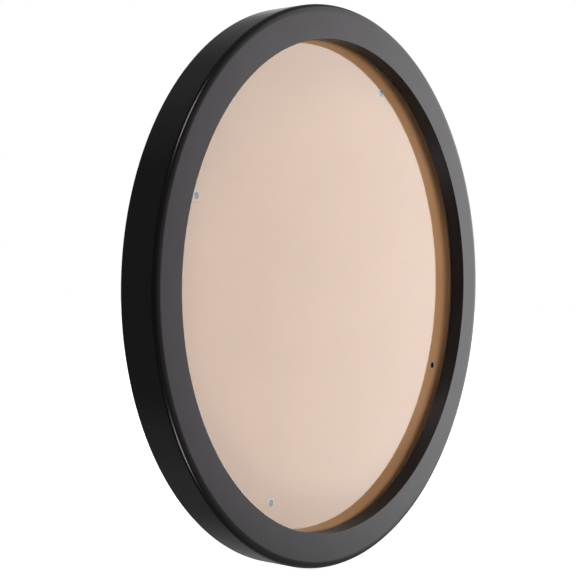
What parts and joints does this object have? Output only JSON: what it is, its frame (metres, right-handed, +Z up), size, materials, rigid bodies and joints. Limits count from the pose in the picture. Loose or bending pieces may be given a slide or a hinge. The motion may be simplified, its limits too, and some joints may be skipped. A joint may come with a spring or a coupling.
{
  "type": "round photo frame",
  "caption": "Round wall photo frame with a deep black ring, clear glazing, and a lift-out board held at the back by turn buttons on eyelets.",
  "frame": {"origin": "middle of the whole frame: on the ring's axis, halfway between the face and the rear of the wall bumpers", "axes": "+X right and +Z up as the frame hangs, seen from the front; +Y along the ring's axis, from the face towards the wall"},
  "size_m": [0.33, 0.0262, 0.33],
  "materials": {
    "black_lacquer": "satin black lacquer on MDF",
    "clear_acrylic": "clear polished acrylic sheet",
    "raw_mdf": "raw pressed fibreboard",
    "eyelet_nickel": "nickel plated",
    "washer_zinc": "zinc plated",
    "button_steel": "zinc plated sheet steel",
    "hanger_steel": "zinc plated sheet steel",
    "nail_steel": "bright steel",
    "bumper_rubber": "matt black rubber"
  },
  "bodies": {
    "frame": {"frame_ring": "black_lacquer", "glazing_sheet": "clear_acrylic", "sawtooth_hanger": "hanger_steel", "hanger_nail_left": "nail_steel", "hanger_nail_right": "nail_steel", "wall_bumper_left": "bumper_rubber", "wall_bumper_right": "bumper_rubber"},
    "back": {"backing_board": "raw_mdf", "eyelet_1": "eyelet_nickel", "eyelet_2": "eyelet_nickel", "eyelet_3": "eyelet_nickel", "eyelet_4": "eyelet_nickel", "washer_1": "washer_zinc", "washer_2": "washer_zinc", "washer_3": "washer_zinc", "washer_4": "washer_zinc"},
    "button_1": {"turn_button_1": "button_steel"},
    "button_2": {"turn_button_2": "button_steel"},
    "button_3": {"turn_button_3": "button_steel"},
    "button_4": {"turn_button_4": "button_steel"}
  },
  "joints": [
    {"name": "back_lift", "type": "slide", "parent": "frame", "child": "back", "axis": [0, 1, 0], "range_m": [0, 0.06]},
    {"name": "button_1_turn", "type": "hinge", "parent": "back", "child": "button_1", "pos_m": [-0.12102, 0.0019, 0.04963], "axis": [0, 1, 0], "continuous": true},
    {"name": "button_2_turn", "type": "hinge", "parent": "back", "child": "button_2", "pos_m": [0.0565, 0.0019, 0.12117], "axis": [0, 1, 0], "continuous": true},
    {"name": "button_3_turn", "type": "hinge", "parent": "back", "child": "button_3", "pos_m": [0.1222, 0.0019, -0.05595], "axis": [0, 1, 0], "continuous": true},
    {"name": "button_4_turn", "type": "hinge", "parent": "back", "child": "button_4", "pos_m": [-0.0579, 0.0019, -0.12085], "axis": [0, 1, 0], "continuous": true}
  ]
}
